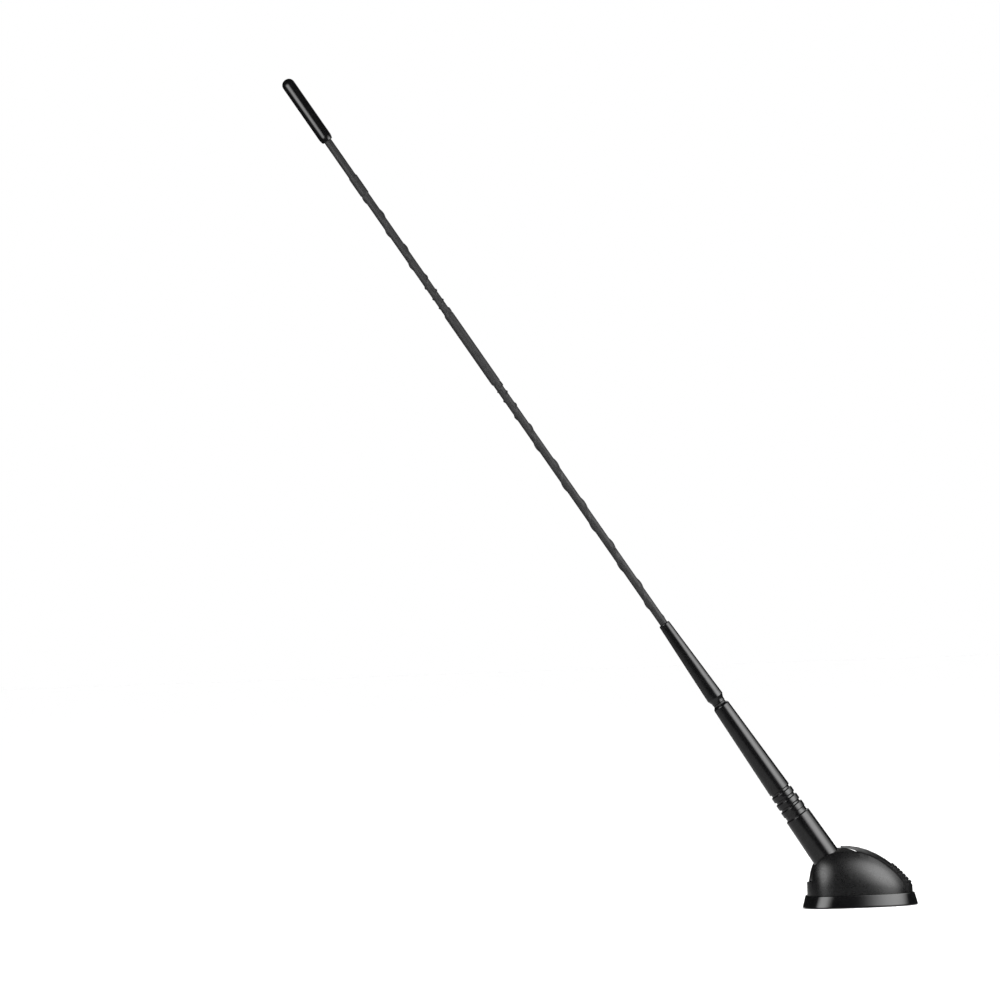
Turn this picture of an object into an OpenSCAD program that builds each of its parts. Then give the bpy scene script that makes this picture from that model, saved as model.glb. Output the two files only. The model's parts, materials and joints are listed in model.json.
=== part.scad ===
// Car mast aerial: domed roof base, tilting lower mast and screw-off flexible whip.
// Origin: axis of the roof screw hole, on the underside of the gasket. +Z up, the mast leans to -X.

/* [Mast stance] */
// Angle between the mast and the vertical
mast_lean = 33; // [30:1:36]
// Tilt axis, distance in front of the roof screw hole
pivot_setback = 15; // [14.5:0.25:15.5]
// Tilt axis, height above the roof
pivot_height = 14.6; // [14.4:0.1:15]

/* [Lower mast] */
// Tilt axis to the top of the foot
foot_reach = 41.8; // [38:0.2:46]
// Diameter of the foot where it stands in the hub
foot_d = 15; // [14:0.1:15]
// Diameter of the foot at its top
foot_top_d = 13.9; // [13:0.1:14.4]
// Number of grip rings above the foot
ring_count = 3; // [2:1:4]
// Distance from one grip ring to the next
ring_pitch = 4.45; // [4:0.05:5.5]
// Height of one grip ring
ring_h = 3.5; // [3:0.1:3.7]
// Diameter of the lowest grip ring
ring_d = 12.95; // [12.5:0.05:13.3]
// Step in diameter from one ring to the next
ring_step = 0.35; // [0:0.05:0.5]
// Diameter of the grooves between the rings
groove_d = 11.5; // [11:0.1:11.7]
// Length of the cone above the rings
cone_len = 54.6; // [40:0.2:70]
// Diameter at the foot of the cone
cone_d = 11.95; // [11:0.05:12.4]
// Diameter at the top of the cone
cone_top_d = 9.05; // [8.9:0.05:9.6]

/* [Mast core] */
// Diameter of the brass core rod
core_d = 6; // [5:0.1:6.4]
// Diameter of the core's threaded head
core_head_d = 6.5; // [6.45:0.05:6.6]
// Length of the core's threaded head
core_head_len = 15; // [12:0.5:20]
// Depth of the threaded socket in the head
socket_depth = 11; // [9.5:0.25:11.5]
// Diameter of the cross pin through core and hub
core_pin_d = 2; // [1.5:0.1:2.4]

/* [Whip] */
// Diameter of the whip's threaded stud
stud_d = 5; // [4.6:0.1:5.2]
// Length of stud in the lower mast's socket
stud_reach = 8; // [6:0.25:9]
// Length of stud inside the ferrule
stud_root = 12; // [8:0.5:16]
// Thickness of the sealing washer
seal_t = 0.8; // [0.5:0.1:1.2]
// Diameter of the sealing washer
seal_d = 6.9; // [6.6:0.1:7.2]
// Diameter of the ferrule's neck
neck_d = 7.2; // [6.9:0.1:7.6]
// Length of the ferrule's neck
neck_len = 1.5; // [1:0.1:3]
// Height of the step from neck to shoulder
shoulder_h = 2.1; // [1.5:0.1:3]
// Diameter of the ferrule at its shoulder
shoulder_d = 9.2; // [8.4:0.1:9.6]
// Length of the ferrule above its shoulder
ferrule_len = 47.6; // [40:0.2:60]
// Diameter of the ferrule at its top
ferrule_top_d = 6.1; // [6:0.1:6.6]
// Length of whip between ferrule and tip cap
whip_len = 311; // [280:1:360]
// Diameter of the glass fibre rod
rod_d = 3.3; // [3.1:0.05:3.35]
// Depth of the rod in the ferrule
rod_root = 28; // [20:1:30]
// Diameter of the winding wire
wire_d = 0.4; // [0.3:0.02:0.44]
// Diameter of the smooth sleeve between ridges
sleeve_d = 4.3; // [4.25:0.05:4.45]
// Height of the ridge that the wire makes
ridge_h = 0.42; // [0.36:0.02:0.5]
// Length of the close-wound coil
coil_len = 44.4; // [30:1:60]
// Diameter of the sleeve over the close-wound coil
coil_sleeve_d = 5.2; // [5.1:0.05:5.4]
// Distance from the ferrule to the close-wound coil
coil_start = 155.3; // [150:1:165]
// Length of the thicker band near the tip
band_len = 11.4; // [8:0.2:14]
// Distance from the thicker band to the tip cap
band_gap = 23; // [16:0.5:30]
// Diameter of the thicker band
band_d = 4.9; // [4.6:0.05:5.1]
// Diameter of the tip cap
cap_d = 7; // [6.4:0.1:7.4]
// Length of the tip cap
cap_len = 39.7; // [34:0.5:46]
// Depth of the rod in the tip cap
cap_bore = 22; // [16:0.5:28]

/* [Wire pitch] */
// Widest pitch above the coil
pitch_above = 21; // [17:0.5:24]
// Closest pitch above the coil
pitch_above_min = 5.4; // [4.6:0.2:6]
// Widest pitch below the coil
pitch_below = 25.5; // [21:0.5:28]
// Closest pitch below the coil
pitch_below_min = 4.2; // [3.6:0.2:5]
// Length over which the pitch opens out above the coil
spread_above = 34; // [28:1:40]
// Length over which the pitch opens out below the coil
spread_below = 40; // [34:1:48]

/* [Base shell] */
// Length of the domed housing
housing_len = 54.75; // [54:0.25:56]
// Width of the domed housing
housing_w = 33; // [32.5:0.25:35]
// Height of the housing's ridge above the roof
ridge_z = 31.8; // [31.6:0.1:32.4]
// Wall of the housing
wall = 1.6; // [1.2:0.1:1.8]
// Centre of the base in front of the roof screw hole
base_shift = 6.05; // [5.8:0.05:6.3]
// Width of the slot that the mast swings in
slot_w = 15.9; // [15.8:0.05:16.2]
// Height of the slot's lower end
slot_floor_z = 13.5; // [13:0.1:13.8]

/* [Slot cover] */
// Wall of the slot cover
cover_t = 1.9; // [1.6:0.05:2]
// How far the cover stands proud of the dome all along
cover_lift = 0.4; // [0.2:0.05:0.6]
// How much further it stands out at its ribbed end, measured level
grip_proud = 0.9; // [0.6:0.05:1.2]
// Number of grip ribs
rib_count = 7; // [4:1:8]
// Distance along the base from one rib to the next
rib_pitch = 1.45; // [1.4:0.05:1.5]
// Thickness of a grip rib
rib_t = 1.1; // [0.8:0.05:1.3]
// Depth of the grooves between the grip ribs, measured level
rib_depth = 1; // [0.6:0.05:1.2]
// Length of the cover's guide rails
rail_len = 14; // [10:0.5:15]

/* [Foot and plate] */
// Height of the flared gasket
gasket_h = 6.5; // [6:0.1:7]
// Thickness of the gasket under the plate
gasket_floor = 1.5; // [1:0.1:2]
// Width of the gasket's flare, measured level
gasket_flare = 1.7; // [1.2:0.1:2.2]
// Land of gasket that shows round the housing
gasket_land = 0.9; // [0.7:0.05:1.2]
// Thickness of the base plate
plate_t = 3; // [2.5:0.1:3.2]
// Diameter of the tapped hole for the roof screw
roof_hole_d = 5; // [4.2:0.1:5.4]
// Depth of the tapped hole above the roof
roof_hole_depth = 11; // [9:0.25:11.5]
// Diameter of the clearance hole in the gasket
gasket_hole_d = 9; // [7:0.25:10]
// Diameter of the cable inlet in the grommet
cable_d = 5; // [4:0.1:5.4]
// Wall of the cable grommet
grommet_wall = 1.2; // [1:0.05:1.3]
// Cable inlet behind the roof screw hole
cable_x = 11.5; // [11.25:0.05:11.75]

/* [Swivel] */
// Radius of the swivel hub
hub_r = 16.3; // [16:0.05:16.4]
// Gap between the hub and what it turns past
hub_gap = 0.35; // [0.25:0.05:0.4]
// Radius of the hub's boss that the clamp grips
boss_r = 9; // [8.5:0.1:9.2]
// Diameter of the pivot pin
pin_d = 6; // [5:0.1:6.2]
// Wall of the pivot bush
bush_wall = 1; // [0.8:0.05:1.2]
// Thickness of each ear of the yoke
ear_t = 3.4; // [3:0.1:3.6]
// Thickness of a friction washer
washer_t = 0.5; // [0.3:0.05:0.6]
// Slope of the clamp screw above level
clamp_slope = 25; // [24:1:27]
// Diameter of the clamp screw
clamp_d = 4; // [3.5:0.1:4.2]

/* [Fits] */
// Radial clearance of a running fit
run_fit = 0.05; // [0.03:0.01:0.08]
// Clearance between pieces that are fixed together
seat_fit = 0.02; // [0.01:0.005:0.03]
// Gap between neighbouring covers
cover_gap = 0.3; // [0.2:0.05:0.35]

/* [Hidden] */
$fn = 64;
eps = 0.01;
big = 100;

// Heights along the mast, measured from the tilt axis
collar_h = 2.55;
ring_round = 0.35;
top_chamfer = 1.1;
hub_flat = sqrt(hub_r * hub_r - foot_d * foot_d / 4) - 0.05;
rings_base = foot_reach + collar_h;
rings_top = rings_base + ring_pitch * (ring_count - 1) + ring_h;
cone_base = rings_top + 1.65;
core_top = cone_base + cone_len;
neck_base = core_top + seal_t;
neck_top = neck_base + neck_len;
shoulder_top = neck_top + shoulder_h;
whip_base = shoulder_top + ferrule_len;
cap_base = whip_base + whip_len;
coil_base = whip_base + coil_start;
coil_top = coil_base + coil_len;
band_top = cap_base - band_gap;
band_base = band_top - band_len;

// Whip section: the wire lies on the rod, and the sleeve follows both
rings_per_turn = 9;
chord_sag = 1 - cos(180 / rings_per_turn);
wire_track_r = (rod_d / 2 + run_fit + wire_d / 2) / (1 - chord_sag);
sleeve_in_r = (rod_d / 2 + run_fit) / (1 - chord_sag);
sleeve_out_r = sleeve_d / 2;
ridge_in_r = wire_track_r + wire_d / 2 + run_fit;
ridge_out_r = sleeve_out_r + ridge_h;
coil_wire_r = rod_d / 2 + run_fit + wire_d;
coil_in_r = (coil_wire_r + run_fit) / (1 - chord_sag);
sleeve_tuck = 3;

// The open helix stops short of the coil, and its last turn runs on into it
helix_stop = 0.9;
sleeve_step = 0.65;
coil_end = 0.6;
wire_join = 0.55;
phase_above = 180;
phase_below = 220;

// Base shell, plan and ridge
nose_x = -base_shift - housing_len / 2;
tail_x = -base_shift + housing_len / 2;
grip_tail_x = tail_x + cover_lift + grip_proud;
widest_x = -base_shift - 5;
crown_x = -base_shift - 9;
plate_z = gasket_floor + plate_t;
cover_start_x = -pivot_setback + 0.4;
saddle_start_x = -pivot_setback + hub_r * 0.7;
nose_power = 2.6;
tail_power = 2.3;
arch_power = 2.3;
cheek_z = 14;
ridge_run = 44.3;
ridge_power = 2.2;
ridge_drop = 1.05;
saddle_t = 1.4;
lip_t = 1.1;
lip_z = 21.6;
cover_w = slot_w - 2 * cover_gap;
cover_low_z = gasket_h + 0.4;
station_count = 18;
arch_count = 14;

// Swivel
hub_w = slot_w - 2 * hub_gap;
bush_r = pin_d / 2 + run_fit + bush_wall;
ear_in = hub_w / 2 + washer_t + 2 * run_fit;
ear_out = ear_in + ear_t;
ear_r = pin_d / 2 + 3;
rail_z = 9;
rail_h = 2.4;
rail_w = 3;
rail_y = 4.4;
hub_low = -59;
hub_high = 69.5;
core_pin_h = bush_r + 2.7;

// Clamp screw, and the post on the plate that carries it
clamp_post_r = boss_r + 4;
clamp_post_len = 4.6;
clamp_post_w = 8;
clamp_post_drop = 11.8;
clamp_post_rim = 0.9;
clamp_screw_start = boss_r + 2.2;
clamp_screw_len = 7;
clamp_hole_r = clamp_d / 2 + run_fit;

// Screws that hold the housing and the yoke
housing_screw_x = [nose_x + 8.425, tail_x - 17.325];
housing_screw_y = 11;
carrier_screw_x = -pivot_setback - 3;
carrier_screw_y = ear_in + ear_t / 2;
screw_d = 2.9;
screw_head_d = 5;
screw_head_h = 1.4;
screw_bite = 7;

function smooth(t) = let (c = min(max(t, 0), 1)) c * c * (3 - 2 * c);
function arc_points(cx, cy, r, a0, a1, n) =
    [for (i = [0 : n]) [cx + r * cos(a0 + (a1 - a0) * i / n), cy + r * sin(a0 + (a1 - a0) * i / n)]];

// Share of the full size left at a distance t along a rounded end
function rounded(t, power) = pow(max(0, 1 - pow(t, power)), 1 / power);

// Half width of the plan at x: blunt in front of the widest place, rounder behind it
function plan_half(x, front, back, half) =
    x < widest_x
        ? half * rounded((widest_x - x) / (widest_x - front), nose_power)
        : half * rounded((x - widest_x) / (back - widest_x), tail_power);

// Height of the ridge at x: full over the nose, then a long fall to the tail
function ridge_height(x, inset) =
    x < crown_x
        ? cheek_z - inset + (ridge_z - cheek_z) * rounded((crown_x - x) / (crown_x - nose_x), nose_power)
        : (ridge_z - inset) * pow(max(0, 1 - pow((x - crown_x) / ridge_run, ridge_power)), ridge_drop);

// Shift to the rear that the ridge takes at x, from none at the crown to all of it at the tail
function tail_shift(x, tail) = tail * smooth((x + 10) / 25);

// Arch across the dome at x, from one side over the ridge to the other
function arch(x, half, top, base) =
    [for (j = [0 : arch_count])
        let (a = 180 * j / arch_count, c = cos(a), s = sin(a))
        [
            x,
            sign(c) * pow(abs(c), 2 / arch_power) * half,
            base + (top - base) * pow(max(s, 0), 2 / arch_power)
        ]];

// Closed skin over a stack of rings with equal numbers of points
module skin(rings) {
    n = len(rings[0]);
    m = len(rings);
    sides = [for (i = [0 : m - 2], j = [0 : n - 1])
        let (a = i * n + j, b = i * n + (j + 1) % n, c = b + n, d = a + n)
        each [[a, d, c], [a, c, b]]];
    ends = [[for (j = [0 : n - 1]) j], [for (j = [n - 1 : -1 : 0]) (m - 1) * n + j]];
    polyhedron(points = [for (r = rings) each r], faces = concat(sides, ends));
}

// Closed tube between a stack of outer rings and a stack of inner rings
module tube_skin(outer, inner) {
    n = len(outer[0]);
    m = len(outer);
    k = n * m;
    out_sides = [for (i = [0 : m - 2], j = [0 : n - 1])
        let (a = i * n + j, b = i * n + (j + 1) % n, c = b + n, d = a + n)
        each [[a, d, c], [a, c, b]]];
    in_sides = [for (i = [0 : m - 2], j = [0 : n - 1])
        let (a = k + i * n + j, b = k + i * n + (j + 1) % n, c = b + n, d = a + n)
        each [[a, b, c], [a, c, d]]];
    low_end = [for (j = [0 : n - 1])
        let (a = j, b = (j + 1) % n)
        each [[a, b, k + b], [a, k + b, k + a]]];
    high_end = [for (j = [0 : n - 1])
        let (a = (m - 1) * n + j, b = (m - 1) * n + (j + 1) % n)
        each [[a, k + b, b], [a, k + a, k + b]]];
    polyhedron(
        points = concat([for (r = outer) each r], [for (r = inner) each r]),
        faces = concat(out_sides, in_sides, low_end, high_end)
    );
}

// The dome, drawn in by inset all round and pushed out by tail at its rear end
module dome(inset = 0, tail = 0, base = plate_z) {
    front = nose_x + inset;
    back = tail_x - inset + tail;
    half = housing_w / 2 - inset;
    skin([for (i = [0 : station_count])
        let (
            u = (1 - cos(180 * i / station_count)) / 2,
            x = front + 0.03 + (back - front - 0.06) * u
        )
        arch(x, plan_half(x, front, back, half), ridge_height(x - tail_shift(x, tail), inset), base)]);
}

// Plan outline grown by grow, for the foot and the plate
function plan_outline(grow) =
    let (front = nose_x - grow, back = grip_tail_x + grow, half = housing_w / 2 + grow, n = 24)
    concat(
        [for (i = [0 : n]) let (x = front + (back - front) * (1 - cos(180 * i / n)) / 2)
            [x, -plan_half(x, front, back, half)]],
        [for (i = [n - 1 : -1 : 1]) let (x = front + (back - front) * (1 - cos(180 * i / n)) / 2)
            [x, plan_half(x, front, back, half)]]
    );

function at_height(outline, z) = [for (p = outline) [p[0], p[1], z]];

module on_pivot() {
    translate([-pivot_setback, 0, pivot_height]) children();
}

module on_mast() {
    on_pivot() rotate([0, -mast_lean, 0]) children();
}

// A cylinder across the base, centred on the middle plane
module across(r, w) {
    rotate([90, 0, 0]) cylinder(r = r, h = w, center = true);
}

// Middle band of the base between two heights
module band(w, x0, x1, z0, z1) {
    translate([x0, -w / 2, z0]) cube([x1 - x0, w, z1 - z0]);
}

module on_clamp() {
    on_pivot() rotate([0, 90 - clamp_slope, 0]) children();
}

// Flared rubber foot with a floor under the plate
module base_gasket() {
    color([0.03, 0.03, 0.035])
    difference() {
        skin([
            at_height(plan_outline(gasket_land + gasket_flare), 0),
            at_height(plan_outline(gasket_land + gasket_flare - 0.1), 0.8),
            at_height(plan_outline(gasket_land + 0.2), gasket_h - 0.5),
            at_height(plan_outline(gasket_land), gasket_h)
        ]);
        translate([0, 0, gasket_floor])
            linear_extrude(gasket_h) polygon(plan_outline(cover_gap));
        translate([0, 0, -eps]) cylinder(d = gasket_hole_d, h = gasket_h);
        translate([cable_x, 0, -eps])
            cylinder(r = cable_d / 2 + grommet_wall + 1 + seat_fit, h = gasket_h);
    }
}

// Die-cast plate with the roof screw boss, which also carries the clamp screw
module base_plate() {
    color([0.62, 0.63, 0.65])
    difference() {
        union() {
            translate([0, 0, gasket_floor])
                linear_extrude(plate_t) polygon(plan_outline(0));
            translate([0, 0, plate_z - 1]) cylinder(d = 12, h = roof_hole_depth - plate_z + 2.6);
            cylinder(d = gasket_hole_d - 2 * seat_fit, h = plate_z);
            on_clamp() translate([-clamp_d / 2 - clamp_post_rim, -clamp_post_w / 2, clamp_post_r])
                cube([clamp_d / 2 + clamp_post_rim + clamp_post_drop, clamp_post_w, clamp_post_len]);
        }
        // Tapped hole for the roof screw
        translate([0, 0, -eps]) cylinder(d = roof_hole_d, h = roof_hole_depth + eps);
        translate([cable_x, 0, -eps]) cylinder(r = cable_d / 2 + grommet_wall + seat_fit, h = plate_z + 1);
        on_clamp() cylinder(r = clamp_hole_r, h = clamp_post_r + clamp_post_len + 5);
        for (x = housing_screw_x, s = [-1, 1]) translate([x, s * housing_screw_y, 0]) screw_hole();
        for (s = [-1, 1]) translate([carrier_screw_x, s * carrier_screw_y, 0]) screw_hole();
    }
}

module screw_hole() {
    translate([0, 0, gasket_floor - eps]) {
        cylinder(d = screw_d + 2 * run_fit, h = plate_t + 1);
        cylinder(d = screw_head_d + 2 * run_fit, h = screw_head_h + run_fit);
    }
}

module self_tapper() {
    translate([0, 0, gasket_floor]) difference() {
        union() {
            cylinder(d = screw_head_d, h = screw_head_h);
            cylinder(d = screw_d, h = plate_t + screw_bite);
        }
        translate([0, 0, -eps]) cylinder(d = 2.2, h = 0.9, $fn = 6);
    }
}

// Grommet that lines the cable inlet
module cable_grommet() {
    color([0.05, 0.05, 0.055])
    translate([cable_x, 0, 0])
    rotate_extrude() {
        r0 = cable_d / 2;
        r1 = r0 + grommet_wall;
        z1 = plate_z + 0.05;
        polygon([
            [r0, 0.1], [r1 + 1, 0.1], [r1 + 1, gasket_floor - seat_fit], [r1, gasket_floor - seat_fit],
            [r1, z1], [r1 + 0.8, z1], [r1 + 0.8, z1 + 0.7], [r1, z1 + 1.2], [r0, z1 + 1.2]
        ]);
    }
}

// Insulating yoke with two ears for the tilt pin
module pivot_carrier() {
    foot_l = 2 * ear_r + 1.8;
    foot_h = 2.4;
    color([0.75, 0.73, 0.66])
    difference() {
        union() {
            for (s = [-1, 1]) translate([-pivot_setback, s * (ear_in + ear_t / 2), 0]) {
                translate([-ear_r, -ear_t / 2, plate_z]) cube([2 * ear_r, ear_t, pivot_height - plate_z]);
                translate([0, 0, pivot_height]) across(ear_r, ear_t);
                translate([-foot_l / 2, -ear_t / 2, plate_z]) cube([foot_l, ear_t, foot_h]);
            }
            translate([-pivot_setback - 4, -ear_in - eps, plate_z]) cube([9, 2 * ear_in + 2 * eps, 0.8]);
        }
        on_pivot() across(pin_d / 2 + seat_fit, 4 * ear_out);
        for (s = [-1, 1]) translate([carrier_screw_x, s * carrier_screw_y, 0])
            cylinder(d = screw_d + 2 * seat_fit, h = gasket_floor + plate_t + screw_bite + 0.5);
    }
}

module carrier_screws() {
    color([0.72, 0.72, 0.74])
    for (s = [-1, 1]) translate([carrier_screw_x, s * carrier_screw_y, 0]) self_tapper();
}

// Domed cover: two cheeks, an open slot in front and a saddle under the slot cover
module housing() {
    color([0.07, 0.07, 0.075])
    difference() {
        union() {
            difference() {
                dome();
                dome(inset = wall, base = plate_z - 1);
                band(slot_w, nose_x - 1, tail_x + 2, slot_floor_z, big);
                band(slot_w, 0, tail_x + 2, cover_low_z - cover_gap, big);
            }
            // Return lips along the slot
            intersection() {
                difference() {
                    dome(inset = wall / 2, base = plate_z - 1);
                    band(slot_w, nose_x - 1, tail_x + 2, 0, big);
                }
                band(slot_w + 2 * lip_t, nose_x, tail_x, lip_z, big);
            }
            // Saddle under the slot cover
            intersection() {
                difference() {
                    dome(inset = cover_t + cover_gap, base = plate_z);
                    dome(inset = cover_t + cover_gap + saddle_t, base = plate_z - 1);
                }
                band(slot_w + 2 * lip_t, saddle_start_x, tail_x, plate_z, big);
            }
            // Screw bosses
            intersection() {
                for (x = housing_screw_x, s = [-1, 1]) translate([x, s * housing_screw_y, plate_z])
                    cylinder(d = 5.6, h = big / 3);
                dome(inset = wall / 2, base = plate_z - 1);
            }
        }
        on_pivot() across(hub_r + hub_gap, slot_w);
        for (x = housing_screw_x, s = [-1, 1]) translate([x, s * housing_screw_y, 0])
            cylinder(d = screw_d + 2 * seat_fit, h = plate_z + screw_bite + 0.5);
        // Way through to the clamp screw
        on_clamp() translate([0, 0, clamp_post_r]) cylinder(d = clamp_d + 2.4, h = 16);
        // Guides for the slot cover's rails
        for (s = [-1, 1])
            translate([saddle_start_x, s * rail_y - rail_w / 2 - cover_gap, rail_z - cover_gap])
                cube([40, rail_w + 2 * cover_gap, rail_h + 2 * cover_gap]);
    }
}

module housing_screws() {
    color([0.72, 0.72, 0.74])
    for (x = housing_screw_x, s = [-1, 1]) translate([x, s * housing_screw_y, 0]) self_tapper();
}

// Slabs across the tail of the slot cover, each square to the ridge where it stands
module grip_slabs() {
    for (i = [0 : rib_count - 1])
        let (
            x = grip_tail_x - rib_pitch * (i + 1),
            above = ridge_height(x - rib_pitch / 2 - grip_proud, -cover_lift),
            below = ridge_height(x + rib_pitch / 2 - grip_proud, -cover_lift)
        )
        translate([x, 0, (above + below) / 2]) rotate([0, atan((above - below) / rib_pitch), 0])
            cube([rib_t, slot_w, 4 * cover_t], center = true);
}

// Strip over the saddle, ribbed at its lower end, which slides off to the rear
module slot_cover() {
    color([0.09, 0.09, 0.095])
    difference() {
        union() {
            intersection() {
                difference() {
                    union() {
                        dome(inset = -cover_lift, tail = grip_proud);
                        intersection() {
                            dome(inset = -cover_lift, tail = grip_proud + rib_depth);
                            grip_slabs();
                        }
                    }
                    dome(inset = cover_t, base = plate_z - 1);
                }
                band(cover_w, cover_start_x, grip_tail_x + 2 * rib_depth, cover_low_z, big);
            }
            // Guide rails
            intersection() {
                for (s = [-1, 1])
                    translate([tail_x - cover_t - rail_len + 2, s * rail_y - rail_w / 2, rail_z])
                        cube([rail_len, rail_w, rail_h]);
                dome(inset = cover_t / 4, tail = grip_proud);
            }
        }
        on_pivot() across(hub_r + hub_gap, 2 * slot_w);
    }
}

module clamp_screw() {
    color([0.3, 0.3, 0.32])
    on_clamp() translate([0, 0, clamp_screw_start]) difference() {
        cylinder(d = clamp_d, h = clamp_screw_len);
        translate([0, 0, clamp_screw_len - 2.5]) cylinder(d = 2.3, h = 3, $fn = 6);
    }
}

// Pad that the clamp screw presses on the hub's boss
module clamp_shoe() {
    color([0.72, 0.56, 0.28])
    intersection() {
        difference() {
            on_clamp() translate([0, 0, boss_r - 1]) cylinder(d = 5.6, h = clamp_screw_start - boss_r + 1 - seat_fit);
            on_pivot() across(boss_r + run_fit, slot_w);
        }
        on_pivot() across(clamp_post_r - 0.5, slot_w);
    }
}

module pivot_pin() {
    color([0.78, 0.78, 0.8])
    on_pivot() difference() {
        union() {
            across(pin_d / 2, 2 * ear_out + 2.4);
            translate([0, -ear_out - 0.5, 0]) across(pin_d / 2 + 1.2, 1);
        }
        // Groove for the clip
        translate([0, ear_out + 0.55, 0]) difference() {
            across(pin_d, 0.7);
            across(pin_d / 2 - 0.6, 1);
        }
    }
}

// Spring clip in the groove of the tilt pin
module pin_clip() {
    color([0.5, 0.5, 0.52])
    on_pivot() translate([0, ear_out + 0.55, 0]) difference() {
        across(pin_d / 2 + 1.3, 0.5);
        across(pin_d / 2 - 0.6 + seat_fit, 1);
        translate([-1.4, -1, -pin_d * 1.5]) cube([2.8, 2, pin_d * 1.5]);
    }
}

module friction_washers() {
    color([0.6, 0.58, 0.5])
    for (s = [-1, 1])
        on_pivot() translate([0, s * (hub_w / 2 + run_fit + washer_t / 2), 0]) difference() {
            across(ear_r - 0.4, washer_t);
            across(pin_d / 2 + run_fit, 2 * washer_t);
        }
}

// Leaf that rubs on the contact ring, bent over on to the terminal
module contact_spring() {
    leaf_t = 0.3;
    color([0.8, 0.55, 0.3])
    translate([-pivot_setback + ear_r + 0.6, -hub_w / 2 - run_fit - leaf_t, 0]) {
        translate([0, 0, plate_z + 2.4]) cube([3.2, leaf_t, pivot_height - plate_z - 2.4]);
        translate([0, -2.6, plate_z + 2.4]) cube([3.2, 2.6 + leaf_t, leaf_t]);
    }
}

// Post that the feed wire is soldered to
module feed_terminal() {
    color([0.72, 0.56, 0.28])
    translate([-pivot_setback + ear_r + 2.2, -ear_in - ear_t / 2, plate_z]) {
        difference() {
            cylinder(d = 2.6, h = 2.4 - seat_fit);
            translate([0, 0, 1.3]) rotate([0, 90, 0]) cylinder(d = 1, h = 6, center = true);
        }
    }
}

// Moulded hub: a curved face that keeps the slot closed, a web, a boss and the mast's socket
module swivel_hub() {
    color([0.1, 0.1, 0.11])
    on_mast() difference() {
        union() {
            difference() {
                hub_sector(hub_r, hub_w);
                across(hub_r - 2, 2 * hub_w);
            }
            hub_sector(hub_r - 1, 5);
            across(boss_r, hub_w - 2 * run_fit);
            cylinder(d = core_d + 6, h = hub_flat - 0.5);
        }
        // Seat of the moulded foot
        translate([-big / 2, -big / 2, hub_flat]) cube([big, big, big]);
        across(bush_r + seat_fit, 2 * hub_w);
        translate([0, 0, bush_r + 0.4]) cylinder(d = core_d + 2 * seat_fit, h = big);
        // Seat of the contact ring
        translate([0, -hub_w / 2, 0]) difference() {
            across(boss_r - 0.4, 1.2);
            across(bush_r + 1.2, 2);
        }
        translate([0, -hub_w / 4, core_pin_h]) across(core_pin_d / 2 + seat_fit, hub_w / 2);
    }
}

// Part of a wheel of radius r and width w: less of it below the mast than above it
module hub_sector(r, w) {
    intersection() {
        across(r, w);
        rotate([90, 0, 0]) linear_extrude(2 * w, center = true)
            polygon(concat(
                [[0, 0]],
                [for (i = [0 : 6])
                    let (a = 90 - hub_low - (hub_high - hub_low) * i / 6)
                    [2 * r * cos(a), 2 * r * sin(a)]]
            ));
    }
}

module pivot_bush() {
    color([0.7, 0.5, 0.25])
    on_pivot() difference() {
        across(bush_r, hub_w);
        across(pin_d / 2 + run_fit, 2 * hub_w);
    }
}

module contact_ring() {
    color([0.75, 0.58, 0.28])
    on_pivot() translate([0, -hub_w / 2 + 0.3, 0]) difference() {
        across(boss_r - 0.4 - seat_fit, 0.6 - 2 * seat_fit);
        across(bush_r + 1.2 + seat_fit, 2);
    }
}

// Brass rod from the hub to the whip, with a threaded socket in its head
module mast_core() {
    color([0.75, 0.58, 0.28])
    on_mast() difference() {
        union() {
            translate([0, 0, bush_r + 0.5]) cylinder(d = core_d, h = core_top - bush_r - 0.5);
            translate([0, 0, core_top - core_head_len]) cylinder(d = core_head_d, h = core_head_len);
        }
        translate([0, 0, core_top - socket_depth]) cylinder(d = stud_d + 2 * run_fit, h = socket_depth + 1);
        translate([0, 0, core_pin_h]) across(core_pin_d / 2 + seat_fit, 2 * hub_w);
    }
}

module core_pin() {
    color([0.7, 0.7, 0.72])
    on_mast() translate([0, -hub_w / 4 + 0.6, core_pin_h]) across(core_pin_d / 2, hub_w / 2 - seat_fit);
}

// Points of one grip ring, flat with rounded edges
function ring_points(z, d) = concat(
    [[groove_d / 2, z]],
    arc_points(d / 2 - ring_round, z + ring_round, ring_round, -90, 0, 3),
    arc_points(d / 2 - ring_round, z + ring_h - ring_round, ring_round, 0, 90, 3),
    [[groove_d / 2, z + ring_h]]
);

// Moulded lower mast: foot, collar, grip rings and long cone over the core
module mast_cover() {
    collar_r = ring_d / 2 - 0.2;
    color([0.06, 0.06, 0.065])
    on_mast() difference() {
        rotate_extrude() polygon(concat(
            [[0, hub_flat + seat_fit], [foot_d / 2, hub_flat + seat_fit]],
            [[foot_top_d / 2, foot_reach - 0.4], [foot_top_d / 2 - 0.4, foot_reach]],
            [[collar_r, foot_reach + 0.2], [collar_r, rings_base - 1], [groove_d / 2, rings_base - 0.8]],
            [for (i = [0 : ring_count - 1]) each ring_points(rings_base + i * ring_pitch, ring_d - i * ring_step)],
            [[groove_d / 2, cone_base - 0.3], [cone_d / 2 - 0.3, cone_base - 0.2], [cone_d / 2, cone_base + 0.2]],
            [[cone_top_d / 2, core_top - top_chamfer], [cone_top_d / 2 - top_chamfer, core_top], [0, core_top]]
        ));
        cylinder(d = core_d + 2 * seat_fit, h = core_top);
        translate([0, 0, core_top - core_head_len - seat_fit])
            cylinder(d = core_head_d + 2 * seat_fit, h = core_head_len + 1);
    }
}

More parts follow.
